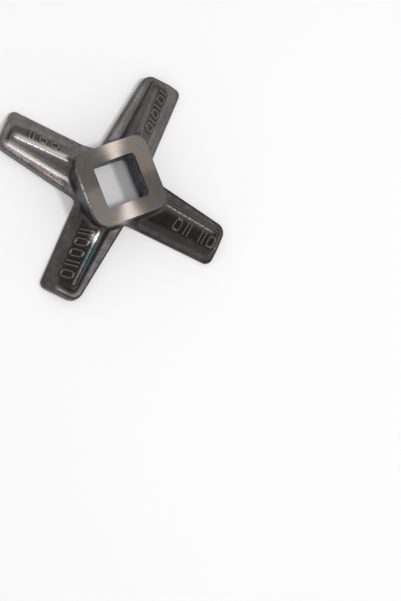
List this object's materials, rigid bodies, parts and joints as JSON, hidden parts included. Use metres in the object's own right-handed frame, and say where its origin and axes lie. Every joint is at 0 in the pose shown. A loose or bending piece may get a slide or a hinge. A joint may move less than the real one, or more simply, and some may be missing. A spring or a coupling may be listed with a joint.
{
  "type": "meat grinder knife",
  "caption": "Four-arm cross knife with a ribbed blade on each arm, a tall square hub and a square drive hole, ground flat below to turn against a perforated plate.",
  "frame": {"origin": "on the hub axis, in the plane of the four cutting faces", "axes": "+Z along the hub axis from the cutting faces to the hub face, +X and +Y square to the sides of the drive hole, with the arms on the diagonals"},
  "size_m": [0.08, 0.08, 0.016],
  "materials": {
    "cast_steel": "dark cast steel, rough on the flanges, with a finely turned hub face"
  },
  "bodies": {
    "root": {"knife": "cast_steel"}
  },
  "joints": []
}
